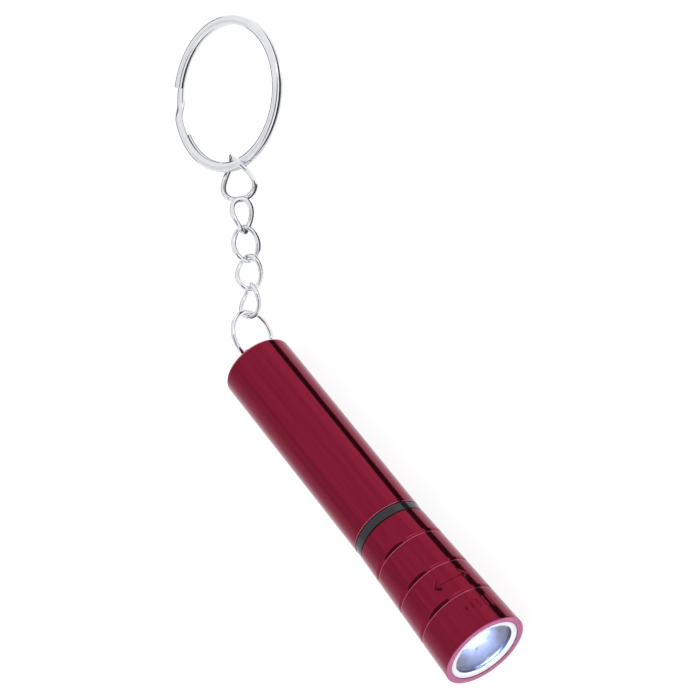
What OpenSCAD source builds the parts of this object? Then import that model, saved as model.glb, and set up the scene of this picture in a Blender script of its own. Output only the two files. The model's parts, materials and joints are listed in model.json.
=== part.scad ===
// Keychain flashlight: a slim aluminium torch with a twist-on head, a curb chain
// and a split key ring. Everything lies on the plane z = 0, as it rests on a table.
// Units are millimetres. The torch parts are turned about their own +X axis, which
// starts at the tail face; the resting torch then leans up a little towards the head.

/* [Barrel] */
// Length of the barrel tube
barrel_len = 36.9; // [34:0.1:42]
// Outer radius of the barrel
barrel_r = 5.7; // [5.6:0.05:6]
// Bore radius of the barrel
bore_r = 4.9; // [4.88:0.01:4.95]
// Radius of the rounded tail edge
tail_round = 0.35; // [0.1:0.05:0.5]

/* [Head] */
// Width of the black band between barrel and head
band_w = 1.7; // [1.5:0.1:2.5]
// Length of the head shell
head_len = 23.7; // [23:0.1:26]
// Outer radius of the head where it meets the band
head_r0 = 5.73; // [5.6:0.01:5.9]
// Outer radius of the head at its front rim
head_r1 = 6.645; // [6.4:0.005:6.8]
// Depth of the three turned grooves
groove_depth = 0.17; // [0.1:0.01:0.25]
// Inner radius of the front rim, where the bezel ring sits
mouth_r = 5.64; // [5.5:0.01:5.7]

/* [Screw] */
// Advance of the head in one turn
thread_pitch = 0.75; // [0.5:0.05:0.75]
// Turns from screwed tight to free
thread_turns = 6; // [2:1:6]
// Outer radius of the neck's thread
neck_r = 4.9; // [4.8:0.01:4.9]

/* [Power] */
// Radius of a button cell
cell_r = 3.95; // [3.8:0.05:4]
// Height of a button cell
cell_h = 3.6; // [3:0.1:3.6]

/* [Chain] */
// Wire radius of the chain links
link_wire_r = 0.4; // [0.35:0.01:0.4]
// Centre-line radius of the ring through the tail eyelet
eye_ring_r = 3.95; // [3.9:0.01:4]
// Centre-line half length of a chain link
link_a = 2.74; // [2.74:0.01:2.78]
// Centre-line half width of a chain link
link_b = 1.92; // [1.9:0.01:1.95]
// Twist of a link from its middle to each end, in degrees
link_twist = 30; // [29:1:31]
// Wire radius of the jump ring
jump_wire_r = 0.43; // [0.38:0.01:0.44]
// Centre-line half length of the jump ring
jump_a = 3.5; // [3.48:0.01:3.52]
// Centre-line half width of the jump ring
jump_b = 3.6; // [3.58:0.01:3.62]
// Twist of the jump ring from its middle to each end, in degrees
jump_twist = 36; // [35:1:37]

/* [Key ring] */
// Outer diameter of the split ring
ring_od = 25; // [24:0.5:26]
// Radial width of the split ring's wire
ring_w = 1.5; // [1.4:0.02:1.6]
// Thickness of one coil of the split ring
ring_t = 0.75; // [0.65:0.01:0.78]

/* [Hidden] */

// Colours
red = [0.52, 0.06, 0.13];
black = [0.08, 0.08, 0.09];
white = [0.93, 0.93, 0.91];
brass = [0.8, 0.6, 0.25];
steel = [0.82, 0.83, 0.86];

// Clearance between parts that slide or nest
gap = 0.05;

// Stations along the torch, from the tail face
plug_lip_x = 1.0;
plug_face_x = 2.6;
plug_well_x = plug_face_x - 0.6;
neck_start_x = barrel_len - 5;
sleeve_end_x = neck_start_x - 0.2;
cells_end_x = neck_start_x - 5.1;
cells_x = cells_end_x - 4 * cell_h;
head_x = barrel_len + band_w;
oring_x = head_x + 0.9;
neck_end_x = head_x + 6.7;
shoulder_x = neck_end_x + 0.4;
chamber_x = shoulder_x + 0.6;
board_x = chamber_x + 1.2;
lamp_x = chamber_x + 2;
reflector_x = lamp_x + 3.2;
front_x = head_x + head_len;
seat_x = front_x - 2.6;
bezel_x = front_x - 0.38;
cup_mouth_x = bezel_x - 0.02;
lens_x = cup_mouth_x - 0.9;
lens_end_x = lens_x + 0.6;
groove_x = [head_x + 5, head_x + 11.3, head_x + 17.2];

// Lean of the torch: tail edge and head rim both touch the table
rim_round = 0.15;
lean = asin((head_r1 - barrel_r) / (front_x - rim_round - tail_round));
axis_z = barrel_r * cos(lean) - tail_round * sin(lean);

// The chain runs back from the tail at this heading, in degrees from +X
chain_heading = 140;

// The split ring leans on the jump ring: the lift of its near side, in degrees, and
// where its wire passes through the jump ring, from the foot of the tail face
ring_gap = 0.03;
ring_lift = 2.7;
ring_near = [-27.3, 18.45];
ring_r = (ring_od - ring_w) / 2;
ring_centre = ring_near + ring_r * [cos(chain_heading), sin(chain_heading)];
ring_z = ring_r * sin(ring_lift) + ring_t + ring_gap / 2 + 0.02;

// Shift that puts the origin under the middle of the whole object
x_max = front_x * cos(lean) + head_r1 * sin(lean);
x_min = ring_centre[0] - ring_od / 2;
y_max = ring_centre[1] + ring_od / 2;
origin_shift = [-(x_max + x_min) / 2, -(y_max - head_r1) / 2, 0];

// ---- Shared shapes ----

// Torch coordinates: +X along the leaning axis, x = 0 at the tail face
module on_torch() {
    translate(origin_shift) translate([0, 0, axis_z]) rotate([0, -lean, 0]) children();
}

// Solid turned about the torch axis from [station, radius] points
module turned(points) {
    rotate([0, 90, 0]) rotate_extrude($fn = 96) polygon([for (p = points) [p[1], p[0]]]);
}

// Straight tube or rod along the torch axis
module tube(x0, x1, r_out, r_in = 0) {
    translate([x0, 0, 0]) rotate([0, 90, 0]) difference() {
        cylinder(h = x1 - x0, r = r_out, $fn = 96);
        if (r_in > 0) translate([0, 0, -1]) cylinder(h = x1 - x0 + 2, r = r_in, $fn = 96);
    }
}

// Points along an arc about a centre, from one angle to another
function arc(cx, cy, r, from, to, steps = 6) =
    [for (i = [0:steps]) let (a = from + (to - from) * i / steps) [cx + r * cos(a), cy + r * sin(a)]];

// Sections for wire: round, and flat with round edges
function round_section(r, sides) = [for (k = [0:sides - 1]) r * [cos(360 * k / sides), sin(360 * k / sides)]];
function flat_section(w, t) = concat(arc((w - t) / 2, 0, t / 2, -90, 90), arc((t - w) / 2, 0, t / 2, 90, 270));

// Wire of one section swept along a path; outs points away from the path's middle
function unit(v) = v / norm(v);
function ring_at(path, outs, section, i, closed) =
    let (n = len(path),
         before = closed ? path[(i + n - 1) % n] : path[max(i - 1, 0)],
         after = closed ? path[(i + 1) % n] : path[min(i + 1, n - 1)],
         t = unit(after - before),
         o = unit(outs[i] - t * (outs[i] * t)),
         b = cross(t, o))
    [for (s = section) path[i] + o * s[0] + b * s[1]];
module swept(path, outs, section, closed) {
    n = len(path);
    m = len(section);
    sides = [for (i = [0:(closed ? n - 1 : n - 2)], k = [0:m - 1])
        [i * m + k, i * m + (k + 1) % m, ((i + 1) % n) * m + (k + 1) % m, ((i + 1) % n) * m + k]];
    caps = closed ? [] : [[for (k = [m - 1:-1:0]) k], [for (k = [0:m - 1]) (n - 1) * m + k]];
    polyhedron(points = [for (i = [0:n - 1]) each ring_at(path, outs, section, i, closed)],
               faces = concat(sides, caps));
}

// ---- Barrel group ----

// Tube with a rounded tail edge and an inward lip that holds the tail plug
tail_lip_r = bore_r - 0.7;
module barrel() {
    edge = 0.08;
    outer = concat(arc(tail_round, barrel_r - tail_round, tail_round, 180, 90),
                   [[barrel_len - edge, barrel_r], [barrel_len, barrel_r - edge]]);
    inner = [[barrel_len, bore_r], [plug_lip_x, bore_r], [plug_lip_x, tail_lip_r], [0, tail_lip_r]];
    color(red) on_torch() turned(concat(outer, inner));
}

// Plug held behind the tail lip, with a flat eyelet for the chain and a well for the spring
eyelet_x = -1.8;
eyelet_r = 1.55;
eyelet_hole_r = 0.78;
eyelet_flare = 0.18;
eyelet_t = 1.6;
well_r = 3.6;
module tail_plug() {
    root_x = 0.4;
    color(red) on_torch() difference() {
        union() {
            tube(plug_lip_x, plug_face_x, bore_r - gap);
            tube(0, plug_lip_x, tail_lip_r - gap);
            translate([eyelet_x, 0, -eyelet_t / 2]) cylinder(h = eyelet_t, r = eyelet_r, $fn = 64);
            translate([eyelet_x, -eyelet_r, -eyelet_t / 2]) cube([root_x - eyelet_x, 2 * eyelet_r, eyelet_t]);
        }
        translate([eyelet_x, 0, -eyelet_t]) cylinder(h = 2 * eyelet_t, r = eyelet_hole_r, $fn = 48);
        translate([eyelet_x, 0, eyelet_t / 2 - eyelet_flare])
            cylinder(h = 2 * eyelet_flare, r1 = eyelet_hole_r, r2 = eyelet_hole_r + 2 * eyelet_flare, $fn = 48);
        translate([eyelet_x, 0, -eyelet_t / 2 - eyelet_flare])
            cylinder(h = 2 * eyelet_flare, r1 = eyelet_hole_r + 2 * eyelet_flare, r2 = eyelet_hole_r, $fn = 48);
        tube(plug_well_x, plug_face_x + 1, well_r);
    }
}

// Two keys on the lamp carrier run in two slots in the neck, and leave them at full travel
travel = thread_pitch * thread_turns;
key_w = 1;
key_h = 0.7;
key_x = neck_end_x - travel - 0.2;
slot_x = key_x - 0.4;

// Black threaded neck pressed into the barrel
neck_bore_r = 4.1;
oring_w = 0.7;
oring_r = neck_r - 0.19;
module neck_insert() {
    press_r = bore_r - 0.03;
    groove_r = oring_r - 0.25;
    outside = [[neck_start_x, press_r - 0.27], [neck_start_x + 0.3, press_r], [barrel_len, press_r],
               [oring_x - oring_w / 2, neck_r], [oring_x - oring_w / 2, groove_r],
               [oring_x + oring_w / 2, groove_r], [oring_x + oring_w / 2, neck_r],
               [neck_end_x - 0.4, neck_r], [neck_end_x, neck_r - 0.35]];
    color(black) on_torch() difference() {
        turned(concat(outside, [[neck_end_x, neck_bore_r], [neck_start_x, neck_bore_r]]));
        for (side = [-1, 1])
            translate([slot_x, side * neck_bore_r - key_h / 2, -key_w / 2 - gap])
                cube([travel + 2, key_h, key_w + 2 * gap]);
    }
}

module band_ring() {
    x0 = barrel_len + gap;
    x1 = head_x - gap;
    r = barrel_r - 0.04;
    edge = 0.12;
    r_in = neck_r + 0.03;
    color(black) on_torch()
        turned([[x0, r_in], [x0, r - edge], [x0 + edge, r], [x1 - edge, r], [x1, r - edge], [x1, r_in]]);
}

module neck_oring() {
    color(black) on_torch() rotate([0, 90, 0])
        translate([0, 0, oring_x]) rotate_extrude($fn = 64)
            translate([oring_r, 0]) circle(r = 0.24, $fn = 24);
}

// White liner round the cells, with an inner step that stops them short of the neck
module battery_sleeve() {
    x0 = plug_face_x + 0.2;
    r_out = bore_r - 0.15;
    r_in = cell_r + 0.1;
    stop_r = 3.2;
    color(white) on_torch()
        turned([[x0, r_in], [x0, r_out], [sleeve_end_x, r_out], [sleeve_end_x, r_in], [cells_end_x + 0.7, r_in],
                [cells_end_x + 0.7, stop_r], [cells_end_x + gap, stop_r], [cells_end_x + gap, r_in]]);
}

// Button cell number i: negative cap, grommet groove and can
module cell(i) {
    x0 = cells_x + i * cell_h;
    x1 = x0 + cell_h;
    cap_r = 3.1;
    edge = 0.2;
    color(steel) on_torch()
        turned([[x0, 0], [x0, cap_r], [x0 + 0.25, cap_r + edge], [x0 + 0.45, cap_r + edge],
                [x0 + 0.45, cell_r - edge], [x0 + 0.45 + edge, cell_r], [x1 - edge, cell_r],
                [x1, cell_r - edge], [x1, 0]]);
}

// Cone spring from the plug's well to the first cell
module tail_spring() {
    wire_r = 0.28;
    coils = 6;
    steps = 16;
    big_r = 3.1;
    small_r = 2.2;
    x0 = plug_well_x + wire_r + gap;
    x1 = cells_x - wire_r - gap;
    n = coils * steps;
    path = [for (i = [0:n]) let (a = 360 * i / steps, q = i / n, r = big_r + (small_r - big_r) * q)
        [x0 + (x1 - x0) * q, r * cos(a), r * sin(a)]];
    outs = [for (i = [0:n]) let (a = 360 * i / steps) [0, cos(a), sin(a)]];
    color(steel) on_torch() swept(path, outs, round_section(wire_r, 8), false);
}

// ---- Lamp carrier group: slides in the neck without turning ----

stem_r = 3.9;
pin_r = 0.7;
plate_r = 1.5;
module led_carrier() {
    x0 = cells_end_x + 1.2;
    flange_x = chamber_x + gap;
    flange_r = 4.8;
    hole_r = pin_r + 0.03;
    color(white) on_torch() difference() {
        union() {
            turned([[x0, hole_r], [x0, stem_r - 0.6], [x0 + 0.6, stem_r], [flange_x, stem_r],
                    [flange_x, flange_r], [board_x, flange_r], [board_x, hole_r]]);
            for (side = [-1, 1])
                translate([key_x, side > 0 ? stem_r + 0.3 - key_h : -stem_r - 0.3, -key_w / 2])
                    cube([travel - 0.4, key_h, key_w]);
        }
        tube(x0 - 1, x0 + 1, plate_r + 0.1);
    }
}

// Brass ring that bridges the neck's end and the head when the head is screwed tight
module ground_ring() {
    color(brass) on_torch() tube(neck_end_x + 0.02, chamber_x + 0.03, 4.35, stem_r + 0.03);
}

// Pin through the carrier with a plate that meets the last cell
module centre_contact() {
    x0 = cells_end_x + 0.02;
    plate_x = x0 + 2.13;
    color(brass) on_torch()
        turned([[x0, 0], [x0, 0.9], [x0 + 0.38, plate_r], [plate_x, plate_r], [plate_x, pin_r],
                [chamber_x + 0.8, pin_r], [chamber_x + 0.8, 0]]);
}

// Half the spacing of the lamp's two leads
lead_gap = 1.27;
module led_board() {
    color([0.1, 0.4, 0.2]) on_torch() difference() {
        tube(board_x + 0.02, lamp_x - 0.02, 4.6);
        for (side = [-1, 1]) translate([0, 0, side * lead_gap]) tube(chamber_x, lamp_x + 1, 0.3);
    }
}

module led_leads() {
    color(steel) on_torch()
        for (side = [-1, 1]) translate([0, 0, side * lead_gap])
            tube(board_x + 0.04, lamp_x, 0.25);
}

// Five millimetre lamp: flange, straight body and domed end
lamp_r = 2.5;
lamp_flange_r = 2.9;
module led_lamp() {
    dome_x = lamp_x + 6.1;
    color([0.85, 0.9, 1]) on_torch()
        turned(concat([[lamp_x + 0.02, 0], [lamp_x + 0.02, lamp_flange_r], [lamp_x + 1, lamp_flange_r],
                       [lamp_x + 1, lamp_r]],
                      arc(dome_x, 0, lamp_r, 90, 0, 12)));
}

// ---- Head group ----

// Outer radius of the head's cone at a station
function cone_r(x) = head_r0 + (head_r1 - head_r0) * (x - head_x) / head_len;

// Outline of one groove: an easy run-out on the tail side, then a sharp step up
run_out = 0.65;
step_edge = 0.09;
function groove(x) = [
    for (t = [0:0.25:1])
        let (s = x - step_edge - run_out * (1 - t)) [s, cone_r(s) - groove_depth * (1 - cos(90 * t))],
    [x - 0.01, cone_r(x) - step_edge],
    [x + step_edge, cone_r(x + step_edge)]
];

thread_bore_r = neck_r + 0.07;
module head_shell() {
    edge = 0.1;
    chamber_r = 4.95;
    shoulder_r = 4.45;
    front_chamber_r = 5.2;
    outer = concat([[head_x, thread_bore_r + 0.3], [head_x, head_r0 - edge], [head_x + edge, head_r0]],
                   [for (x = groove_x) each groove(x)],
                   arc(front_x - rim_round, head_r1 - rim_round, rim_round, 90, 0, 4));
    inner = [[front_x, mouth_r], [seat_x, mouth_r], [seat_x, front_chamber_r], [chamber_x + 5, chamber_r],
             [chamber_x, chamber_r], [chamber_x, shoulder_r], [shoulder_x, shoulder_r],
             [shoulder_x, thread_bore_r], [head_x + 0.3, thread_bore_r]];
    color(red) on_torch() turned(concat(outer, inner));
}

// Bright cup round the lamp: parabolic inside up to a seat for the lens, with a flange at
// the front and a foot that holds the lamp's flange down on its board
cup_mouth_r = 4.8;
cup_seat_r = 4.6;
cup_hole_r = 2.6;
function cup_r(x) =
    let (t = (x - reflector_x) / (lens_x - reflector_x))
    sqrt(pow(cup_hole_r, 2) + (pow(cup_seat_r, 2) - pow(cup_hole_r, 2)) * t);
module reflector() {
    wall = 0.45;
    back_r = 5.1;
    steps = 10;
    mouth = [[cup_mouth_x, cup_mouth_r], [lens_x, cup_mouth_r]];
    inside = [for (i = [0:steps]) let (x = lens_x + (reflector_x - lens_x) * i / steps) [x, cup_r(x)]];
    outside = [for (i = [0:steps]) let (x = reflector_x + (seat_x - 0.3 - reflector_x) * i / steps)
        [x, min(cup_r(x) + wall, back_r)]];
    foot = [[lamp_x + 1.1, cup_hole_r], [lamp_x + 1.1, lamp_flange_r + 0.1], [lamp_x + gap, lamp_flange_r + 0.1],
            [lamp_x + gap, 4.5], [lamp_x + 0.8, 4.5], [lamp_x + 1.4, 3.4]];
    flange = [[seat_x + 0.6, back_r], [seat_x + 0.6, mouth_r - gap], [cup_mouth_x, mouth_r - gap]];
    color([0.85, 0.87, 0.95]) on_torch() turned(concat(mouth, inside, foot, outside, flange));
}

module lens_gasket() {
    color(black) on_torch() tube(seat_x + 0.02, seat_x + 0.58, mouth_r - gap, 5.15);
}

// Clear disc pressed into the mouth of the cup
module front_lens() {
    color([0.9, 0.95, 1, 0.4]) on_torch() tube(lens_x + 0.02, lens_end_x, cup_mouth_r - 0.03);
}

module bezel_ring() {
    x1 = front_x - 0.12;
    r_out = mouth_r - 0.02;
    color(white) on_torch()
        turned([[bezel_x, cup_mouth_r], [bezel_x, r_out], [x1, r_out], [x1, cup_mouth_r + 0.35],
                [x1 - 0.1, cup_mouth_r]]);
}

// ---- Chain ----

// How each piece of the chain lies: [x, y, z, heading, pitch, roll]. Heading turns about
// +Z from +X, pitch lifts the far end, and roll lowers the right-hand side.
link_lie = [
    [-9.8, 5.1, 3.25, 144, -14, 0],
    [-13.45, 7.8, 2.4, 143, -8, 35],
    [-17.05, 10.65, 2.2, 140, 4, 46],
    [-20.5, 13.7, 2.3, 140, -4, 90]
];
jump_lie = [-25.85, 17.15, 1.6, chain_heading, 8, -8];
module lying(lie) {
    translate(origin_shift) translate([lie[0], lie[1], lie[2]])
        rotate([0, 0, lie[3]]) rotate([0, -lie[4], 0]) rotate([lie[5], 0, 0]) children();
}

// Oval wire link in the local XY plane, twisted about its long axis
module wire_link(a, b, twist, wire_r, from = 0, to = 360) {
    closed = to - from == 360;
    steps = 40;
    path = [for (i = [0:(closed ? steps - 1 : steps)])
        let (t = from + (to - from) * i / steps, r = -twist * cos(t))
        [a * cos(t), -b * sin(t) * cos(r), -b * sin(t) * sin(r)]];
    swept(path, path, round_section(wire_r, 10), closed);
}

// Round ring that stands upright through the eyelet, at its own heading
eye_heading = 148;
eye_ring_z = 4.4;
eye_z = axis_z + eyelet_x * sin(lean);
module eye_ring() {
    reach = sqrt(pow(eye_ring_r, 2) - pow(eye_z - eye_ring_z, 2));
    centre = [eyelet_x * cos(lean), 0, eye_ring_z] + reach * [cos(eye_heading), sin(eye_heading), 0];
    color(steel) translate(origin_shift) translate(centre) rotate([0, 0, eye_heading]) rotate([90, 0, 0])
        rotate_extrude($fn = 96) translate([eye_ring_r, 0]) circle(r = link_wire_r, $fn = 32);
}

module chain_link(i) {
    color(steel) lying(link_lie[i]) wire_link(link_a, link_b, link_twist, link_wire_r);
}

// Open ring between the chain and the split ring; its ends part by a small slot
module jump_ring() {
    color(steel) lying(jump_lie) wire_link(jump_a, jump_b, jump_twist, jump_wire_r, 218, 572);
}

// Two flat coils joined by a crank. Angles run backwards from the end of the upper coil,
// which lies at ring_start from the chain's heading
ring_start = 71;
ring_turn = 678;
crank_from = 333;
crank_turn = 14;
module split_ring() {
    coil_step = 6;
    crank_step = 2;
    angles = concat([for (a = [0:coil_step:crank_from]) a],
                    [for (a = [crank_from:crank_step:crank_from + crank_turn]) a],
                    [for (a = [crank_from + crank_turn + 1:coil_step:ring_turn]) a]);
    function drop(a) = (1 - cos(180 * min(max((a - crank_from) / crank_turn, 0), 1))) / 2;
    outs = [for (a = angles) [cos(ring_start - a), sin(ring_start - a), 0]];
    path = [for (i = [0:len(angles) - 1])
        ring_r * outs[i] + [0, 0, (ring_t + ring_gap) * (0.5 - drop(angles[i]))]];
    color(steel) translate(origin_shift) translate([ring_centre[0], ring_centre[1], ring_z])
        rotate([0, 0, chain_heading]) rotate([0, ring_lift, 0])
            swept(path, outs, flat_section(ring_w, ring_t), false);
}

barrel();
tail_plug();
neck_insert();
band_ring();
neck_oring();
battery_sleeve();
cell(0);  // cell_1
cell(1);  // cell_2
cell(2);  // cell_3
cell(3);  // cell_4
tail_spring();
led_carrier();
ground_ring();
centre_contact();
led_board();
led_leads();
led_lamp();
head_shell();
reflector();
lens_gasket();
front_lens();
bezel_ring();
eye_ring();
chain_link(0);  // chain_link_1
chain_link(1);  // chain_link_2
chain_link(2);  // chain_link_3
chain_link(3);  // chain_link_4
jump_ring();
split_ring();
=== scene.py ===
"""Keychain flashlight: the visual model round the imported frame, with its stage, light and camera.

Torch shapes are turned outlines of (station, radius) points in millimetres, with station 0 at
the tail face and the torch's own X along its axis. Chain shapes are wires swept along paths.
"""

import json
import math

import bmesh
import bpy
import numpy as np
from mathutils import Matrix, Quaternion, Vector


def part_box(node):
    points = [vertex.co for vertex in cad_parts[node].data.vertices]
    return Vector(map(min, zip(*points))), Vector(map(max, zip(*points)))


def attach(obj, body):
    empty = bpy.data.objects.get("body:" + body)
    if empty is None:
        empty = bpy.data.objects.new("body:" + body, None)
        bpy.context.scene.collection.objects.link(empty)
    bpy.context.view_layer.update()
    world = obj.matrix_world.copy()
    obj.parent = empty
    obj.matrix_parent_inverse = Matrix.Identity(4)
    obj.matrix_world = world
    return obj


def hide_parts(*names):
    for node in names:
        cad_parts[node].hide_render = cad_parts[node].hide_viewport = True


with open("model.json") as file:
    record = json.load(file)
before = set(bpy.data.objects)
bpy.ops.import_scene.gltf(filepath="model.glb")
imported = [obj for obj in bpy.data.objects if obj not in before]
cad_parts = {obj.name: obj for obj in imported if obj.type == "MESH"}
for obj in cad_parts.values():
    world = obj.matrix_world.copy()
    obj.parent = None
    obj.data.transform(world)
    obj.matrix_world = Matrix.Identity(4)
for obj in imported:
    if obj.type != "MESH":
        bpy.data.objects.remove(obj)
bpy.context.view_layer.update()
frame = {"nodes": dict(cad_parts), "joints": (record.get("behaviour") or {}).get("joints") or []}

MM = 0.001
JOINTS = {joint["name"]: joint for joint in frame["joints"]}


# ---- Torch frame and sizes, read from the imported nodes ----


def torch_frame():
    """Matrix from torch millimetres to the row frame: X along the axis, origin on the tail face."""
    twist = JOINTS["head_twist"]
    axis = Vector(twist["axis"]).normalized()
    side = Vector((0, 1, 0))
    turn = Matrix((axis, side, axis.cross(side))).transposed()
    pivot = Vector(twist["pos_m"])
    barrel = frame["nodes"]["barrel"].data.vertices
    tail = min((vertex.co - pivot).dot(axis) for vertex in barrel)
    return Matrix.Translation(pivot + axis * tail) @ turn.to_4x4() @ Matrix.Scale(MM, 4)


TORCH = torch_frame()


def size_of(node):
    """First and last station, and inner and outer radius, of a turned node in millimetres."""
    inverse = TORCH.inverted()
    points = [inverse @ vertex.co for vertex in frame["nodes"][node].data.vertices]
    radii = [math.hypot(p.y, p.z) for p in points]
    stations = [p.x for p in points]
    return min(stations), max(stations), min(radii), max(radii)


_, BARREL_END, BORE_R, BARREL_R = size_of("barrel")
HEAD_X, FRONT_X, _, HEAD_SHELL_R = size_of("head_shell")
NECK_X, NECK_END, NECK_BORE, NECK_R = size_of("neck_insert")
MOUTH_R = size_of("bezel_ring")[3] + 0.02

# How far the smooth meshes stay inside the CAD model's outermost faces, so that the boxes agree
SKIN = 0.01
HEAD_R = HEAD_SHELL_R - 0.6 * SKIN
HEAD_START_R = BARREL_R + 0.03

# Stations where the tail plug's wide part starts, and where the three grooves end in their steps
PLUG_LIP = 1.0
GROOVES = [HEAD_X + 5, HEAD_X + 11.3, HEAD_X + 17.2]

# How far the head and the lamp carrier travel in all, and in one turn
TRAVEL = JOINTS["carrier_slide"]["range_m"][1] / MM
PITCH = TRAVEL / (JOINTS["head_twist"]["range_deg"][1] / 360)


# ---- Mesh helpers ----


def clamp(share):
    """Keeps a share between 0 and 1."""
    return min(max(share, 0), 1)


def build(name, vertices, faces, matrix, slots=None, sharp=35):
    """A smooth-shaded mesh object; matrix takes its millimetres to the row frame."""
    mesh = bpy.data.meshes.new(name)
    mesh.from_pydata([matrix @ Vector(v) for v in vertices], [], faces)
    if slots:
        mesh.polygons.foreach_set("material_index", slots)
    mesh.polygons.foreach_set("use_smooth", [True] * len(faces))
    solid = bmesh.new()
    solid.from_mesh(mesh)
    bmesh.ops.recalc_face_normals(solid, faces=solid.faces)
    solid.to_mesh(mesh)
    solid.free()
    mesh.set_sharp_from_angle(angle=math.radians(sharp))
    piece = bpy.data.objects.new(name, mesh)
    bpy.context.scene.collection.objects.link(piece)
    return piece


def arc(cx, cy, radius, start, end, steps):
    """Points along an arc, with angles in degrees."""
    angles = np.radians(np.linspace(start, end, steps + 1))
    return [(cx + radius * math.cos(a), cy + radius * math.sin(a)) for a in angles]


def marked(points, slot=0):
    """Outline points that start stretches of one material slot."""
    return [(x, r, slot) for x, r in points]


def eased(outline, closed):
    """Adds points close to both ends of each long stretch, so that flats stay flat in smooth shading."""
    hold = 0.06
    result = []
    count = len(outline)
    for i, (x, r, slot) in enumerate(outline):
        result.append((x, r, slot))
        if i == count - 1 and not closed:
            break
        x2, r2, _ = outline[(i + 1) % count]
        length = math.hypot(x2 - x, r2 - r)
        if length > 5 * hold:
            for share in (hold / length, 1 - hold / length):
                result.append((x + (x2 - x) * share, r + (r2 - r) * share, slot))
    return result


def lathe(name, outline, closed=True, angles=None, relief=None):
    """Turns an outline round the torch axis. relief(station, angle, radius) gives a change of radius."""
    outline = eased(outline, closed)
    angles = np.radians(np.linspace(0, 360, 192, endpoint=False)) if angles is None else angles
    vertices, faces, slots, rows = [], [], [], []
    for x, r, _ in outline:
        first = len(vertices)
        if r < 1e-6:
            vertices.append((x, 0, 0))
            rows.append([first] * len(angles))
            continue
        for a in angles:
            radius = r + (relief(x, a, r) if relief else 0)
            vertices.append((x, radius * math.sin(a), radius * math.cos(a)))
        rows.append(list(range(first, first + len(angles))))
    spans = len(rows) if closed else len(rows) - 1
    for i in range(spans):
        low, high = rows[i], rows[(i + 1) % len(rows)]
        for k in range(len(angles)):
            n = (k + 1) % len(angles)
            face = [low[k], high[k], high[n], low[n]]
            face = [v for j, v in enumerate(face) if v != face[j - 1]]
            faces.append(face)
            slots.append(outline[i][2])
    return build(name, vertices, faces, TORCH, slots)


def round_section(radius, sides=20):
    """Section of a round wire."""
    angles = np.linspace(0, 2 * math.pi, sides, endpoint=False)
    return np.stack([radius * np.cos(angles), radius * np.sin(angles)], axis=1)


def flat_section(width, thick):
    """Section of a flat wire with crowned faces, as a superellipse."""
    sides, squareness = 40, 2.1
    angles = np.linspace(0, 2 * math.pi, sides, endpoint=False)
    across, up = np.cos(angles), np.sin(angles)
    power = 2 / squareness
    return np.stack([width / 2 * np.sign(across) * np.abs(across) ** power,
                     thick / 2 * np.sign(up) * np.abs(up) ** power], axis=1)


def sweep(name, path, outs, section, matrix, seam=0):
    """Wire of one section along a path, with softly rounded ends. Its underside takes the second
    material slot, painted shade for the seam between coils, over the first seam points of the path."""
    path, outs = np.array(path, float), np.array(outs, float)
    along = np.gradient(path, axis=0)
    along /= np.linalg.norm(along, axis=1)[:, None]
    out = outs - along * np.sum(outs * along, axis=1)[:, None]
    out /= np.linalg.norm(out, axis=1)[:, None]
    up = np.cross(along, out)
    rings = [path[i] + section[:, :1] * out[i] + section[:, 1:] * up[i] for i in range(len(path))]
    half_thick = np.abs(section[:, 1]).max()
    soft = 0.45
    for end, side in ((0, -1), (-1, 1)):
        flat = rings[end]
        caps = []
        for a in np.radians([25, 50, 75, 90]):
            inner = path[end] + (flat - path[end]) * (1 - soft * (1 - math.cos(a)))
            caps.append(inner + along[end] * side * soft * half_thick * math.sin(a))
        rings = caps[::-1] + rings if end == 0 else rings + caps
    count, sides = len(rings), len(section)
    vertices = [tuple(v) for ring in rings for v in ring]
    faces, slots = [], []
    underside = -0.2 * half_thick
    for i in range(count - 1):
        for k in range(sides):
            n = (k + 1) % sides
            faces.append([i * sides + k, i * sides + n, (i + 1) * sides + n, (i + 1) * sides + k])
            slots.append(1 if i < seam and section[k, 1] < underside else 0)
    faces.append(list(range(sides))[::-1])
    faces.append(list(range((count - 1) * sides, count * sides)))
    return build(name, vertices, faces, matrix, slots + [0, 0], sharp=50)


# ---- Materials ----


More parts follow.
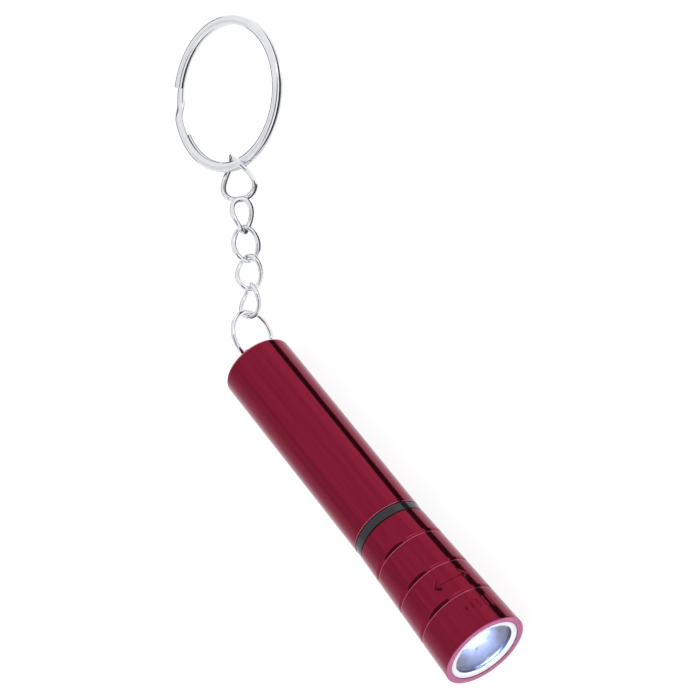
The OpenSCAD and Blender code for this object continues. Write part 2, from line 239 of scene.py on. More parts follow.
class Finish:
    """A node material on one Principled shader, with short calls for the usual texture nodes."""

    def __init__(self, name, colour, metallic, roughness, **sockets):
        self.material = bpy.data.materials.new(name)
        self.material.use_nodes = True
        self.nodes = self.material.node_tree.nodes
        self.links = self.material.node_tree.links
        self.shader = self.nodes["Principled BSDF"]
        self.set("Base Color", (*colour, 1))
        self.set("Metallic", metallic)
        self.set("Roughness", roughness)
        for socket, value in sockets.items():
            self.set(socket.replace("_", " "), value)
        self.place = self.nodes.new("ShaderNodeTexCoord").outputs["Object"]

    def set(self, socket, value):
        self.shader.inputs[socket].default_value = value

    def link(self, source, target):
        self.links.new(source, target)

    def noise(self, scale, detail, stretch=(1, 1, 1)):
        """Noise with this many features per metre, drawn out along an axis where stretch is small."""
        mapping = self.nodes.new("ShaderNodeMapping")
        mapping.inputs["Scale"].default_value = stretch
        texture = self.nodes.new("ShaderNodeTexNoise")
        texture.inputs["Scale"].default_value = scale
        texture.inputs["Detail"].default_value = detail
        self.link(self.place, mapping.inputs["Vector"])
        self.link(mapping.outputs["Vector"], texture.inputs["Vector"])
        return texture.outputs["Fac"]

    def ramp(self, factor, stops):
        """Colour ramp from (position, colour) stops."""
        ramp = self.nodes.new("ShaderNodeValToRGB")
        elements = ramp.color_ramp.elements
        while len(elements) < len(stops):
            elements.new(0.5)
        for element, (position, colour) in zip(elements, stops):
            element.position = position
            element.color = (*colour, 1)
        self.link(factor, ramp.inputs["Fac"])
        return ramp.outputs["Color"]

    def span(self, factor, low, high):
        """Maps a texture's middle range onto low to high."""
        spread = self.nodes.new("ShaderNodeMapRange")
        for socket, value in (("From Min", 0.3), ("From Max", 0.7), ("To Min", low), ("To Max", high)):
            spread.inputs[socket].default_value = value
        self.link(factor, spread.inputs["Value"])
        return spread.outputs["Result"]

    def colour(self, factor, dark, light):
        self.link(self.ramp(factor, [(0.3, dark), (0.7, light)]), self.shader.inputs["Base Color"])

    def roughness(self, factor, low, high):
        self.link(self.span(factor, low, high), self.shader.inputs["Roughness"])

    def bump(self, height, distance, strength):
        bump = self.nodes.new("ShaderNodeBump")
        bump.inputs["Strength"].default_value = strength
        bump.inputs["Distance"].default_value = distance
        self.link(height, bump.inputs["Height"])
        self.link(bump.outputs["Normal"], self.shader.inputs["Normal"])


# Noise stretch that draws streaks along the torch
LENGTHWISE = (0.03, 1, 1)


def red_anodised():
    finish = Finish("red_anodised", (0.22, 0.012, 0.034), 1.0, 0.14, Specular_Tint=(1.0, 0.92, 0.98, 1))
    streaks = finish.noise(1500, 3, LENGTHWISE)
    finish.colour(streaks, (0.21, 0.01, 0.03), (0.24, 0.015, 0.04))
    finish.roughness(streaks, 0.11, 0.15)
    finish.bump(finish.noise(9000, 2), 0.0000012, 0.5)
    return finish.material


def painted_edge_highlight():
    """Painted highlight: edges in a paler red, standing in for the bright line of light that they catch."""
    finish = Finish("red_edge_painted_highlight", (0.55, 0.17, 0.26), 1.0, 0.22)
    grain = finish.noise(4000, 2)
    finish.colour(grain, (0.52, 0.14, 0.23), (0.60, 0.21, 0.30))
    finish.roughness(grain, 0.18, 0.3)
    return finish.material


def front_rim():
    """The faced front rim, in a paler red than the turned side: painted reflection of the pale floor that the
    flat rim looks onto.
    """
    finish = Finish("red_front_rim_painted_reflection", (0.44, 0.12, 0.26), 1.0, 0.25)
    grain = finish.noise(1500, 2)
    finish.colour(grain, (0.42, 0.105, 0.24), (0.47, 0.13, 0.28))
    finish.roughness(grain, 0.23, 0.28)
    return finish.material


def black_plastic():
    finish = Finish("black_plastic", (0.009, 0.007, 0.01), 0.0, 0.12)
    grain = finish.noise(6000, 3)
    finish.colour(grain, (0.006, 0.004, 0.007), (0.013, 0.010, 0.014))
    finish.roughness(grain, 0.09, 0.17)
    finish.bump(grain, 0.000002, 0.3)
    return finish.material


def black_anodised():
    finish = Finish("black_anodised", (0.03, 0.03, 0.033), 0.85, 0.38)
    grain = finish.noise(4500, 3)
    finish.colour(grain, (0.022, 0.022, 0.025), (0.042, 0.042, 0.046))
    finish.roughness(grain, 0.32, 0.46)
    return finish.material


def rubber():
    finish = Finish("seal_rubber", (0.02, 0.02, 0.021), 0.0, 0.6)
    grain = finish.noise(7000, 3)
    finish.colour(grain, (0.014, 0.014, 0.015), (0.03, 0.03, 0.031))
    finish.roughness(grain, 0.5, 0.7)
    finish.bump(grain, 0.00001, 0.5)
    return finish.material


def nickel():
    finish = Finish("bright_nickel", (0.82, 0.83, 0.87), 1.0, 0.08)
    cloud = finish.noise(700, 3)
    finish.colour(cloud, (0.80, 0.81, 0.85), (0.87, 0.88, 0.91))
    finish.roughness(cloud, 0.05, 0.11)
    finish.bump(finish.noise(1800, 2), 0.000002, 0.3)
    return finish.material


def seam_painted_shade():
    """Painted shade: a dark finish on the lower faces of the key ring's upper coil, standing in for the
    shadow in the seam where the coils meet.
    """
    finish = Finish("seam_painted_shade", (0.03, 0.03, 0.034), 0.6, 0.5)
    grain = finish.noise(2500, 3)
    finish.colour(grain, (0.02, 0.02, 0.023), (0.045, 0.045, 0.05))
    finish.roughness(grain, 0.42, 0.58)
    return finish.material


def cell_steel():
    finish = Finish("cell_steel", (0.66, 0.65, 0.62), 1.0, 0.3)
    brushed = finish.noise(5000, 2, (1, 0.15, 0.15))
    finish.colour(brushed, (0.58, 0.57, 0.55), (0.72, 0.71, 0.68))
    finish.roughness(brushed, 0.24, 0.4)
    return finish.material


def white_plastic(name, colour, roughness, weight):
    finish = Finish(name, colour, 0.0, roughness, Subsurface_Weight=weight)
    finish.shader.inputs["Subsurface Radius"].default_value = (0.001, 0.001, 0.001)
    grain = finish.noise(3000, 3)
    finish.colour(grain, tuple(c * 0.97 for c in colour), colour)
    finish.roughness(grain, roughness - 0.05, roughness + 0.05)
    finish.bump(grain, 0.000006, 0.3)
    return finish.material


def brass():
    finish = Finish("contact_brass", (0.74, 0.54, 0.22), 1.0, 0.25)
    grain = finish.noise(2500, 3)
    finish.colour(grain, (0.66, 0.46, 0.17), (0.8, 0.6, 0.27))
    finish.roughness(grain, 0.18, 0.34)
    return finish.material


def board_green():
    finish = Finish("board_green", (0.02, 0.14, 0.05), 0.0, 0.35)
    grain = finish.noise(2500, 3)
    finish.colour(grain, (0.014, 0.11, 0.04), (0.03, 0.18, 0.07))
    finish.roughness(grain, 0.28, 0.45)
    return finish.material


def mirror_cup():
    finish = Finish("mirror_cup", (0.10, 0.125, 0.21), 1.0, 0.3)
    orange_peel = finish.noise(1600, 2)
    finish.colour(orange_peel, (0.08, 0.10, 0.18), (0.13, 0.155, 0.25))
    finish.roughness(orange_peel, 0.27, 0.34)
    finish.bump(orange_peel, 0.000006, 0.5)
    return finish.material


def clear(name, tint, roughness, ior, lit=0.0):
    finish = Finish(name, tint, 0.0, roughness, Transmission_Weight=1.0, IOR=ior)
    haze = finish.noise(1500, 2)
    finish.colour(haze, tuple(c * 0.985 for c in tint), tint)
    finish.roughness(haze, roughness, roughness + 0.02)
    finish.set("Emission Color", (0.93, 0.96, 1.0, 1))
    finish.set("Emission Strength", lit)
    return finish.material


def glow(name, colour, strength):
    finish = Finish(name, colour, 0.0, 0.5, Emission_Strength=strength)
    grain = finish.noise(3000, 2)
    hot = finish.ramp(grain, [(0.3, colour), (0.7, (1, 1, 1))])
    finish.link(hot, finish.shader.inputs["Emission Color"])
    finish.link(hot, finish.shader.inputs["Base Color"])
    return finish.material


RED = red_anodised()
# Paler red for edges, a painted highlight
EDGE_HIGHLIGHT = painted_edge_highlight()
# Paler red for the front rim, a painted reflection
RIM_REFLECTION = front_rim()
BLACK = black_plastic()
NECK_BLACK = black_anodised()
RUBBER = rubber()
NICKEL = nickel()
# Painted shade for the seam between the key ring's coils
SEAM_SHADE = seam_painted_shade()
STEEL = cell_steel()
LINER = white_plastic("liner_white", (0.8, 0.81, 0.8), 0.45, 0.1)
BEZEL = white_plastic("bezel_white", (0.86, 0.88, 0.92), 0.22, 0.05)
BRASS = brass()
GREEN = board_green()
MIRROR = mirror_cup()
LENS = clear("lens_clear", (0.97, 0.98, 1.0), 0.01, 1.45)
EPOXY = clear("lamp_epoxy", (0.95, 0.97, 1.0), 0.03, 1.5, lit=70.0)
DIE = glow("lamp_die", (0.9, 0.95, 1.0), 60.0)


def dress(piece, body, slot, replaces, *materials):
    """Gives a new piece its materials and its body, and hides the node it stands for; its slot is not used.
    """
    for material in materials:
        piece.data.materials.append(material)
    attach(piece, body)
    if replaces:
        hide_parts(replaces)


def paint(node, material):
    """Gives a CAD node that stays shown its finish."""
    slots = frame["nodes"][node].data.materials
    slots.clear()
    slots.append(material)


# ---- Barrel group ----


def thread(x, angle, start, end, crest, root):
    """Radius of a rounded screw thread; it runs out over half a turn at each end."""
    phase = (x / PITCH - angle / (2 * math.pi)) % 1
    wave = clamp(0.5 + 0.9 * math.cos(2 * math.pi * phase))
    fade = clamp((x - start) / (0.5 * PITCH)) * clamp((end - x) / (0.5 * PITCH))
    return root + (crest - root) * wave * fade


def make_barrel():
    """Tube with a rounded tail edge and a bevelled front edge."""
    round_r, edge, wall = 0.35, 0.05, 0.8
    bore = BARREL_R - wall
    tail = arc(round_r, BARREL_R - round_r, round_r, 180, 90, 8)
    # The end of the tail's rounding and the front bevel take slot 1, the painted edge highlight
    outline = marked(tail[:-3]) + marked(tail[-3:-1], 1) + marked(tail[-1:])
    outline += [(BARREL_END - edge, BARREL_R, 1), (BARREL_END, BARREL_R - edge, 0)]
    outline += marked([(BARREL_END, bore), (PLUG_LIP, bore), (PLUG_LIP, BORE_R), (0, BORE_R)])
    dress(lathe("barrel_tube", outline), "barrel", "red_anodised", "barrel", RED, EDGE_HIGHLIGHT)


def make_band():
    """Black collar, set a little apart from the barrel and the head, so that seams show there."""
    x0, x1, r_in, r_out = size_of("band_ring")
    edge, tail_seam, head_seam = 0.14, 0.05, 0.07
    x0, x1 = x0 + tail_seam, x1 - head_seam
    top = arc(x0 + edge, r_out - edge, edge, 180, 90, 5) + arc(x1 - edge, r_out - edge, edge, 90, 0, 5)
    outline = marked([(x0, r_in)] + top + [(x1, r_in)])
    dress(lathe("band_collar", outline), "barrel", "black_plastic", "band_ring", BLACK)


def make_neck():
    """Neck with its O-ring groove, a rounded screw thread from there to its end, and two slots in
    its bore for the lamp carrier's keys."""
    oring_x, groove_half_w, groove_r = HEAD_X + 0.9, 0.35, NECK_R - 0.44
    press_r, shoulder_r, root = NECK_R - 0.03, NECK_R - 0.05, NECK_R - 0.36
    start, end = oring_x + 1.1, NECK_END - 0.1
    plain = [(NECK_X, NECK_R - 0.3), (NECK_X + 0.3, press_r), (BARREL_END, press_r),
             (oring_x - groove_half_w, NECK_R), (oring_x - groove_half_w, groove_r),
             (oring_x + groove_half_w, groove_r), (oring_x + groove_half_w, shoulder_r),
             (oring_x + 0.6, shoulder_r)]
    turns = [(x, root) for x in np.arange(start - 0.3, end, PITCH / 16)]
    slot_x, slot_half_w, slot_depth = NECK_END - TRAVEL - 0.6, 0.55, 0.26
    bore = [(NECK_END, NECK_BORE), (slot_x, NECK_BORE), (slot_x - 0.01, NECK_BORE), (NECK_X, NECK_BORE)]
    outline = marked(plain + turns + [(NECK_END, root - 0.1)] + bore)

    def relief(x, angle, radius):
        if abs(radius - root) < 1e-6:
            return thread(x, angle, start, end, NECK_R, root) - root
        # The slots also run out through the inner edge of the neck's end face
        at_bore = radius < NECK_BORE + 0.08 and x >= slot_x
        return slot_depth if at_bore and abs(NECK_BORE * math.cos(angle)) <= slot_half_w else 0

    dress(lathe("neck_screw", outline, relief=relief), "barrel", "black_anodised", "neck_insert", NECK_BLACK)


def make_plug():
    """Tail plug: a turned disc, and the flat eyelet as a strap with a drilled eye."""
    x_eye, x_root, r_eye, r_hole, half_t, soft = -1.8, 0.6, 1.55, 0.78, 0.8, 0.18
    lip = BORE_R - 0.05
    wide = size_of("tail_plug")[3]
    disc = [(0.45, 0), (0.3, 0.6), (0.25, lip - 0.25), (0.2, lip - 0.1), (0.35, lip), (PLUG_LIP, lip),
            (PLUG_LIP, wide), (2.6, wide), (2.6, 3.6), (2.0, 3.6), (2.0, 0)]
    dress(lathe("plug_disc", marked(disc), closed=False), "barrel", "red_anodised", "tail_plug", RED)

    # Round at the eye, then straight back to the disc
    def edge_reach(angle):
        across, along = abs(math.sin(angle)), math.cos(angle)
        return r_eye if along <= 0 else min((x_root - x_eye) / along, r_eye / max(across, 1e-9))

    angles = np.radians(np.linspace(90, 450, 72, endpoint=False))
    steps = [(-half_t, soft), (-half_t + 0.35 * soft, 0.35 * soft), (-half_t + soft, 0), (half_t - soft, 0),
             (half_t - 0.35 * soft, 0.35 * soft), (half_t, soft)]
    reaches = [(height, [edge_reach(a) - shrink for a in angles]) for height, shrink in steps]
    reaches += [(height, [r_hole + grow] * len(angles)) for height, grow in steps[::-1]]
    rows, vertices = [], []
    for height, reach in reaches:
        rows.append(range(len(vertices), len(vertices) + len(angles)))
        vertices += [(x_eye + r * math.cos(a), r * math.sin(a), height) for r, a in zip(reach, angles)]
    faces = []
    for i, row in enumerate(rows):
        after = rows[(i + 1) % len(rows)]
        for k in range(len(angles)):
            n = (k + 1) % len(angles)
            faces.append([row[k], row[n], after[n], after[k]])
    eyelet = build("tail_eyelet", vertices, faces, TORCH)
    dress(eyelet, "barrel", "red_anodised", None, RED)


def make_spring():
    """Cone spring, with an even pitch from end to end."""
    wire_r, coils, steps, narrowing = 0.28, 6, 28, 0.9
    x0, x1, _, big = size_of("tail_spring")
    x0, x1, big = x0 + wire_r, x1 - wire_r, big - wire_r
    count = coils * steps
    path, outs = [], []
    for i in range(count + 1):
        a, share = 2 * math.pi * i / steps, i / count
        r = big - narrowing * share
        path.append((x0 + (x1 - x0) * share, r * math.cos(a), r * math.sin(a)))
        outs.append((0, math.cos(a), math.sin(a)))
    spring = sweep("cell_spring", path, outs, round_section(wire_r, 14), TORCH)
    dress(spring, "barrel", "nickel_steel", "tail_spring", NICKEL)


# ---- Head group ----


def cone_r(x):
    """Outer radius of the head's cone at a station."""
    return HEAD_START_R + (HEAD_R - HEAD_START_R) * (x - HEAD_X) / (FRONT_X - HEAD_X)


def strokes():
    """Engraved marks as line segments of (station, angle in degrees): a double-headed arrow and ticks."""
    arrow_x, low, high, barb_w, barb_turn = GROOVES[1] + 2.9, 34, 87, 0.8, 8
    shaft = np.linspace(low, high, 9)
    lines = [((arrow_x, a), (arrow_x, b)) for a, b in zip(shaft[:-1], shaft[1:])]
    for tip, back in ((low, barb_turn), (high, -barb_turn)):
        lines += [((arrow_x, tip), (arrow_x + side * barb_w, tip + back)) for side in (-1, 1)]
    tick_x = GROOVES[2] + 2.6
    for k in range(5):
        half, place = 0.25 + 0.18 * k, 52 + 9 * k
        lines.append(((tick_x - half, place), (tick_x + half, place)))
    return lines


STROKES = strokes()
MARK_DEPTH = 0.17
MARK_WIDTH = 0.42


def engraving(x, angle, radius):
    """Depth of the marks at a place on the head, as a V-shaped groove along each stroke."""
    if abs(radius - cone_r(x)) > 0.001:
        return 0
    # No stroke reaches further than this from its start, with its width
    reach = 2.2
    around = math.degrees(angle)
    scale = math.radians(1) * radius
    nearest = MARK_WIDTH
    for (ax, aa), (bx, ba) in STROKES:
        px, py = x - ax, (around - aa) * scale
        if abs(px) > reach or abs(py) > reach:
            continue
        dx, dy = bx - ax, (ba - aa) * scale
        share = clamp((px * dx + py * dy) / (dx * dx + dy * dy))
        nearest = min(nearest, math.hypot(px - share * dx, py - share * dy))
    return -MARK_DEPTH * max(1 - nearest / (MARK_WIDTH / 2), 0)


def groove(x):
    """One groove: an easy run-out on the tail side, then a sharp step in the paler edge red, a painted
    highlight.
    """
    depth, length, edge = 0.17, 0.65, 0.09
    points = []
    for t in np.linspace(0, 1, 13):
        s = x - edge - length * (1 - t)
        points.append((s, cone_r(s) - depth * (1 - math.cos(math.pi / 2 * t)), 0))
    points.append((x - 0.01, cone_r(x) - edge, 1))
    points.append((x + edge * 0.6, cone_r(x + edge) - 0.012, 1))
    points.append((x + edge * 1.5, cone_r(x + edge * 1.5), 0))
    return points


def make_head():
    """Flared shell with three grooves and the marks outside, and steps and a thread inside."""
    rim, edge = 0.15, 0.1
    # The head's back edge takes slot 1, the painted edge highlight
    outline = [(HEAD_X, NECK_R + 0.37, 0), (HEAD_X, HEAD_START_R - edge, 1)]
    outline.append((HEAD_X + edge, cone_r(HEAD_X + edge), 0))
    outline += groove(GROOVES[0]) + groove(GROOVES[1])
    # Fine rows where the marks are
    outline += [(x, cone_r(x), 0) for x in np.arange(GROOVES[1] + 1.8, GROOVES[1] + 4.0, 0.05)]
    outline += groove(GROOVES[2])
    outline += [(x, cone_r(x), 0) for x in np.arange(GROOVES[2] + 1.4, GROOVES[2] + 3.9, 0.05)]
    front = arc(FRONT_X - rim, HEAD_R - rim, rim, 88, 0, 6)
    # The front face takes slot 2, the paler red of painted reflection
    outline += marked(front[:2]) + marked(front[2:], 2)
    outline += [(FRONT_X, MOUTH_R + 0.04, 2), (FRONT_X - 0.04, MOUTH_R, 0)]
    seat_x, chamber_x, shoulder_x = FRONT_X - 2.6, NECK_END + 1, NECK_END + 0.4
    seat_r, chamber_r, contact_r, bore = 5.2, 4.95, 4.45, NECK_R + 0.07
    outline += marked([(seat_x, MOUTH_R), (seat_x, seat_r), (chamber_x + 5, chamber_r),
                       (chamber_x, chamber_r), (chamber_x, contact_r), (shoulder_x, contact_r),
                       (shoulder_x, bore)])
    crest = bore - 0.3
    start, end = HEAD_X + 2.4, shoulder_x - 0.3
    inside = [(x, bore) for x in np.arange(end, start, -PITCH / 12)]
    outline += marked(inside + [(HEAD_X + 0.3, bore)])
    # Fine steps round the side that carries the marks
    angles = np.radians(np.concatenate([np.arange(26, 96, 0.4), np.arange(96, 386, 2)]))

    def relief(x, angle, radius):
        if abs(radius - bore) < 1e-6 and start <= x <= end:
            return thread(x - PITCH / 2, angle, start - PITCH / 2, end - PITCH / 2, crest, bore) - bore
        return engraving(x, angle, radius)

    head = lathe("head_tube", outline, angles=angles, relief=relief)
    dress(head, "head", "red_anodised", "head_shell", RED, EDGE_HIGHLIGHT, RIM_REFLECTION)


def make_bezel():
    x0, x1, r_in, r_out = size_of("bezel_ring")
    soft = 0.06
    outer = arc(x1 - soft, r_out - soft, soft, 90, 0, 4)
    inner = [(x1, r_in + 0.3), (x1 - 0.02, r_in + 0.14), (x1 - 0.06, r_in + 0.04), (x1 - 0.12, r_in)]
    dress(lathe("bezel_trim", marked([(x0, r_in), (x0, r_out)] + outer + inner)),
          "head", "white_plastic", "bezel_ring", BEZEL)


def make_lens():
    x0, x1, _, r = size_of("front_lens")
    edge = 0.05
    outline = marked([(x0, 0), (x0, r - edge), (x0 + edge, r), (x1 - edge, r), (x1, r - edge), (x1, 0)])
    dress(lathe("lens_disc", outline, closed=False), "head", "clear_lens", "front_lens", LENS)


def make_cup():
    """Reflector: a parabola up to the lens's seat, with a flange at the mouth and a foot at the lamp."""
    x_foot, x_mouth, _, r_flange = size_of("reflector")
    lens_x, _, _, lens_r = size_of("front_lens")
    lamp_x, seat_x = x_foot - 0.05, FRONT_X - 2.6
    x_hole, x_step = lamp_x + 3.2, lens_x - 0.02
    hole, step, mouth, wall, widest = 2.6, 4.6, lens_r + 0.03, 0.45, 5.1

    def radius(x):
        return math.sqrt(hole**2 + (step**2 - hole**2) * (x - x_hole) / (x_step - x_hole))

    inside = [(x_mouth, mouth), (x_step, mouth)] + [(x, radius(x)) for x in np.linspace(x_step, x_hole, 40)]
    foot = [(lamp_x + 1.1, hole), (lamp_x + 1.1, 3.0), (x_foot, 3.0), (x_foot, 4.5), (lamp_x + 0.8, 4.5),
            (lamp_x + 1.4, 3.4)]
    outside = [(x, min(radius(x) + wall, widest)) for x in np.linspace(x_hole, seat_x - 0.3, 20)]
    flange = [(seat_x + 0.6, widest), (seat_x + 0.6, r_flange), (x_mouth, r_flange)]
    cup = lathe("reflector_cup", marked(inside + foot + outside + flange))
    dress(cup, "head", "mirror_cup", "reflector", MIRROR)


# ---- Lamp ----


def make_lamp():
    """Clear lamp with its cup, die and lead frame inside."""
    x0, x1, _, flange_r = size_of("led_lamp")
    body_r, flange_t = 2.5, 0.98
    outline = marked([(x0, 0), (x0, flange_r), (x0 + flange_t, flange_r), (x0 + flange_t, body_r)]
                     + arc(x1 - body_r, 0, body_r, 90, 0, 20))
    dress(lathe("lamp_dome", outline, closed=False), "lamp_carrier", "lamp_epoxy", "led_lamp", EPOXY)
    die_x = x0 + 3.4
    die = marked([(die_x, 0), (die_x, 0.9), (die_x + 0.15, 1.0), (die_x + 0.3, 0.9), (die_x + 0.36, 0)])
    dress(lathe("lamp_glow", die, closed=False), "lamp_carrier", "lamp_epoxy", None, DIE)
    cup = marked([(die_x - 1.2, 0), (die_x - 1.2, 0.5), (die_x - 0.4, 0.6), (die_x - 0.3, 1.1),
                  (die_x + 0.3, 1.3), (die_x + 0.3, 1.15), (die_x - 0.05, 0.95), (die_x - 0.05, 0)])
    dress(lathe("lamp_anvil", cup, closed=False), "lamp_carrier", "nickel_steel", None, NICKEL)


# ---- Chain and key ring ----

LINK_WIRE_R = 0.4 - SKIN
JUMP_WIRE_R = 0.43 - SKIN

# How each link lies, as in the CAD model: x, y, z in millimetres from the foot of the tail
# face, then heading, pitch and roll in degrees
LINK_LIES = [
    (-9.8, 5.1, 3.25, 144, -14, 0),
    (-13.45, 7.8, 2.4, 143, -8, 35),
    (-17.05, 10.65, 2.2, 140, 4, 46),
    (-20.5, 13.7, 2.3, 140, -4, 90),
]
JUMP_LIE = (-25.85, 17.15, 1.6, 140, 8, -8)


def lying(x, y, z, heading, pitch, roll):
    """Matrix from a chain piece's own millimetres to the row frame."""
    foot = Vector((TORCH.translation.x, TORCH.translation.y, 0))
    turn = Matrix.Rotation(math.radians(heading), 4, "Z") @ Matrix.Rotation(math.radians(-pitch), 4, "Y")
    turn = turn @ Matrix.Rotation(math.radians(roll), 4, "X")
    return Matrix.Translation(foot + Vector((x, y, z)) * MM) @ turn @ Matrix.Scale(MM, 4)


def link_path(half_length, half_width, twist, start, end, steps):
    """Oval twisted about its long axis, as points from one angle to another."""
    points = []
    for t in np.radians(np.linspace(start, end, steps)):
        roll = math.radians(-twist) * math.cos(t)
        across = -half_width * math.sin(t)
        points.append((half_length * math.cos(t), across * math.cos(roll), across * math.sin(roll)))
    return points


def make_chain():
    for i, lie in enumerate(LINK_LIES):
        path = link_path(2.74, 1.92, 30, 93, 450, 120)
        wire = sweep(f"link_wire_{i + 1}", path, path, round_section(LINK_WIRE_R), lying(*lie))
        dress(wire, f"chain_link_{i + 1}", "nickel_steel", f"chain_link_{i + 1}", NICKEL)
    path = link_path(3.5, 3.6, 36, 218, 572, 150)
    ring = sweep("jump_wire", path, path, round_section(JUMP_WIRE_R), lying(*JUMP_LIE))
    dress(ring, "jump_ring", "nickel_steel", "jump_ring", NICKEL)


def make_eye_ring():
    """Round ring through the eyelet, cut where its ends meet near the table."""
    radius = 3.95
    low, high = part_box("eye_ring")
    heading = math.radians(148)
    middle = (low + high) / 2
    angles = np.radians(np.linspace(-98, 259, 160))
    path = [(radius * math.cos(a), 0, radius * math.sin(a)) for a in angles]
    place = Matrix.Translation(middle) @ Matrix.Rotation(heading, 4, "Z") @ Matrix.Scale(MM, 4)
    ring = sweep("eye_ring_wire", path, path, round_section(LINK_WIRE_R, 24), place)
    dress(ring, "eye_ring", "nickel_steel", "eye_ring", NICKEL)


def make_split_ring():
    """Two flat coils joined by a crank, with the wire's ends dressed round."""
    width, thick, gap, mean_r = 1.48, 0.74, 0.04, 11.75
    # In degrees round the ring; the path has a point every 2 degrees
    start, turn, crank_from, crank_turn, step = 71, 678, 333, 14, 2
    joint = JOINTS["split_ring_turn"]
    middle = Vector(joint["pos_m"])
    normal = Vector(joint["axis"]).normalized()
    heading = math.radians(140)
    side = Vector((-math.sin(heading), math.cos(heading), 0))
    turn_in = Matrix((side.cross(normal), side, normal)).transposed().to_4x4()
    place = Matrix.Translation(middle) @ turn_in @ Matrix.Scale(MM, 4)
    path, outs = [], []
    for a in np.arange(0, turn + 0.1, step):
        share = clamp((a - crank_from) / crank_turn)
        drop = (1 - math.cos(math.pi * share)) / 2
        p = math.radians(start - a)
        out = (math.cos(p), math.sin(p), 0)
        outs.append(out)
        path.append((mean_r * out[0], mean_r * out[1], (thick + gap) * (0.5 - drop)))
    ring = sweep("split_coils", path, outs, flat_section(width, thick), place, seam=crank_from // step)
    # The upper coil's underside takes the second finish, painted shade in the seam between the coils
    dress(ring, "split_ring", "nickel_steel", "split_ring", NICKEL, SEAM_SHADE)


make_barrel()
make_band()
make_neck()
make_plug()
make_spring()
make_head()
make_bezel()
make_lens()
make_cup()
make_lamp()
make_chain()
make_eye_ring()
make_split_ring()

for material, nodes in (
    (STEEL, ("cell_1", "cell_2", "cell_3", "cell_4")),
    (LINER, ("battery_sleeve", "led_carrier")),
    (RUBBER, ("neck_oring", "lens_gasket")),
    (BRASS, ("ground_ring", "centre_contact")),
    (GREEN, ("led_board",)),
    (NICKEL, ("led_leads",)),
):
    for node in nodes:
        paint(node, material)


# ---- Stage, light and camera ----


def quad(name, corners, material):
    """Flat sheet of the stage, which isn't part of the object."""
    mesh = bpy.data.meshes.new(name)
    mesh.from_pydata(corners, [], [tuple(range(len(corners)))])
    mesh.materials.append(material)
    sheet = bpy.data.objects.new(name, mesh)
    bpy.context.scene.collection.objects.link(sheet)
    return sheet


def card(name, corners, brightness):
    """Sheet that shows only in reflections, as a flag or softbox outside the frame."""
    finish = Finish(name, (0.0, 0.0, 0.0), 0.0, 1.0, Specular_IOR_Level=0.0, Emission_Strength=brightness)
    finish.set("Emission Color", (1, 1, 1, 1))
    sheet = quad(name, corners, finish.material)
    sheet.visible_camera = False
    sheet.visible_diffuse = False
    sheet.visible_shadow = False
    sheet.visible_transmission = False


def make_floor():
    """Light table: it glows a little, so that it stays white under the torch."""
    finish = Finish("floor_pale", (0.2, 0.2, 0.2), 0.0, 1.0, Specular_IOR_Level=0.0, Emission_Strength=0.88)
    finish.colour(finish.noise(40, 2), (0.195, 0.195, 0.195), (0.205, 0.205, 0.205))
    finish.set("Emission Color", (1, 1, 1, 1))
    half = 3.0
    quad("floor", [(-half, -half, 0), (half, -half, 0), (half, half, 0), (-half, half, 0)], finish.material)


def round_card(name, centre, across, up, brightness):
    """Oval card from its centre and its two half axes."""
    angles = np.linspace(0, 2 * math.pi, 48, endpoint=False)
    card(name, [centre + across * math.cos(a) + up * math.sin(a) for a in angles], brightness)


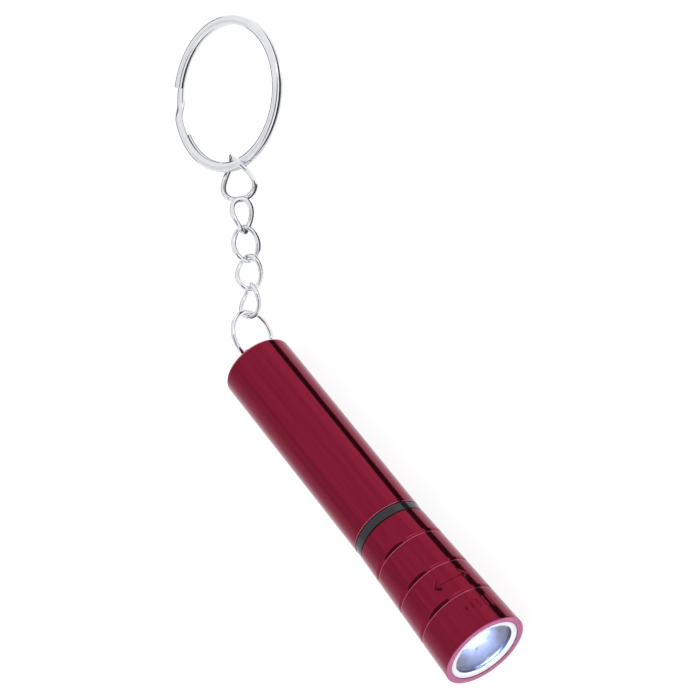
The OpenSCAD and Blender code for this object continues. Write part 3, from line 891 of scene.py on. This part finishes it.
def make_cards():
    """Cards that give the torch's dark line, the darks and lights of its grooves, and the grey
    and the dark edges of the key ring."""
    middle = TORCH @ Vector((FRONT_X / 2, 0, 0))

    # On the floor along the torch, where its shade would fall: a dark sheet of painted shade that shows only
    # in reflection, as the dark line near its lower edge
    start, end, near, far, low = -0.06, 0.09, 0.01065, 0.0186, 0.00005
    corners = [(start, near), (end, near), (end, far), (start, far)]
    card("strip", [(x, middle.y + y, low) for x, y in corners], 0.08)

    # Overhead, for the dark lens in each groove
    round_card("flag", middle + Vector((0.07, 0.075, 0.28)), Vector((0.13, 0, 0)), Vector((0, 0.21, 0)), 0.25)

    # Upright at the torch's side, for the bright line in each groove
    left, right, away, tall = -0.012, 0.035, 0.3, 0.2
    corners = [(left, 0), (right, 0), (right, tall), (left, tall)]
    card("softbox", [middle + Vector((x, away, z)) for x, z in corners], 2.0)

    # Low behind the chain, for the dark edges of the key ring
    reach, rise = 0.5, Vector((0, 0, 0.14))
    feet = [reach * Vector((math.cos(a), math.sin(a), 0)) for a in np.radians([180, 231])]
    card("back", feet + [feet[1] + rise, feet[0] + rise], 0.05)

    # Where the camera's view bounces off a level face, for the grey on top of the key ring
    bounce = Vector((-0.53, -0.469, 0.706))
    side = bounce.orthogonal().normalized()
    size = 0.17
    round_card("haze", middle + 0.6 * bounce, size * side, size * bounce.cross(side), 0.78)


def make_light():
    """White surroundings, and one soft lamp overhead that reflections don't show."""
    world = bpy.data.worlds.new("tent")
    bpy.context.scene.world = world
    world.use_nodes = True
    background = world.node_tree.nodes["Background"]
    background.inputs["Color"].default_value = (1.0, 1.0, 1.0, 1)
    background.inputs["Strength"].default_value = 0.92
    lamp = bpy.data.lights.new("soft_top", "AREA")
    lamp.shape = "RECTANGLE"
    lamp.size, lamp.size_y = 0.8, 0.6
    lamp.energy = 1.2
    light = bpy.data.objects.new("soft_top", lamp)
    light.location = (-0.1, -0.25, 0.7)
    light.rotation_euler = light.location.to_track_quat("Z", "Y").to_euler()
    light.visible_glossy = False
    bpy.context.scene.collection.objects.link(light)


def make_camera():
    """The view: 45 degrees down on the torch's front left, and rolled a quarter turn."""
    eye = Vector((0.21155, 0.18003, 0.27818))
    target = Vector((0.00277, -0.00466, 0))
    roll = math.radians(-91.74)
    data = bpy.data.cameras.new("camera")
    data.lens = 132.4
    data.sensor_width = 36
    data.clip_start = 0.01
    camera = bpy.data.objects.new("camera", data)
    camera.location = eye
    camera.rotation_mode = "QUATERNION"
    camera.rotation_quaternion = (target - eye).to_track_quat("-Z", "Y") @ Quaternion((0, 0, 1), roll)
    bpy.context.scene.collection.objects.link(camera)
    bpy.context.scene.camera = camera


make_floor()
make_light()
make_cards()
make_camera()
bpy.context.scene.view_settings.view_transform = "Standard"
bpy.context.scene.cycles.max_bounces = 12
